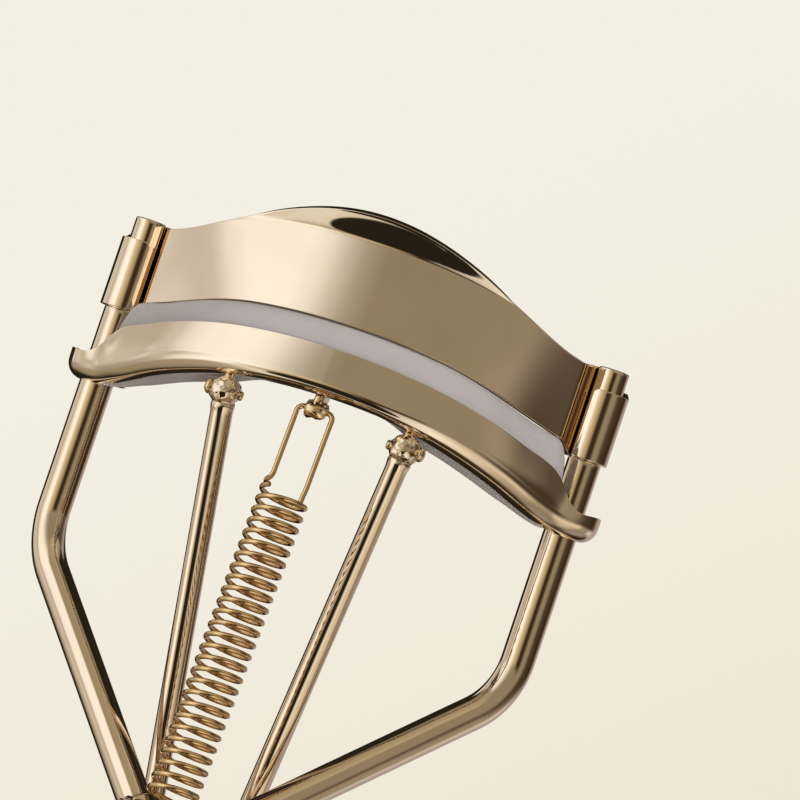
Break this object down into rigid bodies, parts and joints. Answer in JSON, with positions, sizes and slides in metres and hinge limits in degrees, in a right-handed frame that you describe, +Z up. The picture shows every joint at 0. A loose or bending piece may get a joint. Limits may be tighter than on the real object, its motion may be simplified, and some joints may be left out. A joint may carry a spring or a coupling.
{
  "type": "eyelash curler",
  "caption": "Scissor-action eyelash curler: a fixed curved jaw on guide rods and a sliding padded jaw, driven by drawbars from a lever with finger rings.",
  "frame": {"origin": "centre of the fixed handle's finger ring", "axes": "+X across the jaws, along the finger rings' bores; -Y towards the convex side of the jaws; +Z up to the jaws"},
  "size_m": [0.0464, 0.058, 0.11],
  "materials": {
    "jaw_and_handle_gold": "mirror-polished champagne gold plating",
    "rod_gold": "polished champagne gold plating",
    "pad_silicone": "satin grey silicone"
  },
  "bodies": {
    "frame": {"upper_jaw": "jaw_and_handle_gold", "left_guide_rod": "rod_gold", "right_guide_rod": "rod_gold", "pivot_yoke": "jaw_and_handle_gold", "frame_handle": "jaw_and_handle_gold", "handle_rivet": "rod_gold", "pivot_pin": "rod_gold", "pivot_washer": "jaw_and_handle_gold", "spring_anchor": "rod_gold", "return_spring": "rod_gold"},
    "jaw": {"lower_jaw": "jaw_and_handle_gold", "pad_rail": "jaw_and_handle_gold", "link_bracket": "jaw_and_handle_gold", "lash_pad": "pad_silicone", "left_link_rivet": "rod_gold", "right_link_rivet": "rod_gold"},
    "lever": {"lever_handle": "jaw_and_handle_gold", "cross_pin": "rod_gold", "cross_pin_cap": "jaw_and_handle_gold"},
    "left_drawbar": {"left_link": "rod_gold"},
    "right_drawbar": {"right_link": "rod_gold"}
  },
  "joints": [
    {"name": "lever_swing", "type": "hinge", "parent": "frame", "child": "lever", "pos_m": [0, -0.0155, 0.0395], "axis": [-1, 0, 0], "range_deg": [0, 36], "stiffness_Nm_per_rad": 0.04, "springref_deg": 35.98},
    {"name": "jaw_slide", "type": "slide", "parent": "frame", "child": "jaw", "axis": [0, 0, -1], "range_m": [0, 0.0072], "deforming": ["return_spring"]},
    {"name": "left_link_turn", "type": "hinge", "parent": "jaw", "child": "left_drawbar", "pos_m": [-0.00775, -0.0116, 0.0788], "axis": [1, 0, 0], "range_deg": [0, 0.82]},
    {"name": "right_link_turn", "type": "hinge", "parent": "jaw", "child": "right_drawbar", "pos_m": [0.00775, -0.0116, 0.0788], "axis": [1, 0, 0], "range_deg": [0, 0.82]}
  ],
  "couplings": [
    {"joint": "jaw_slide", "follows": "lever_swing", "m_per_rad": 0.011453},
    {"joint": "left_link_turn", "follows": "lever_swing", "ratio": 0.02256},
    {"joint": "right_link_turn", "follows": "lever_swing", "ratio": 0.02256}
  ]
}
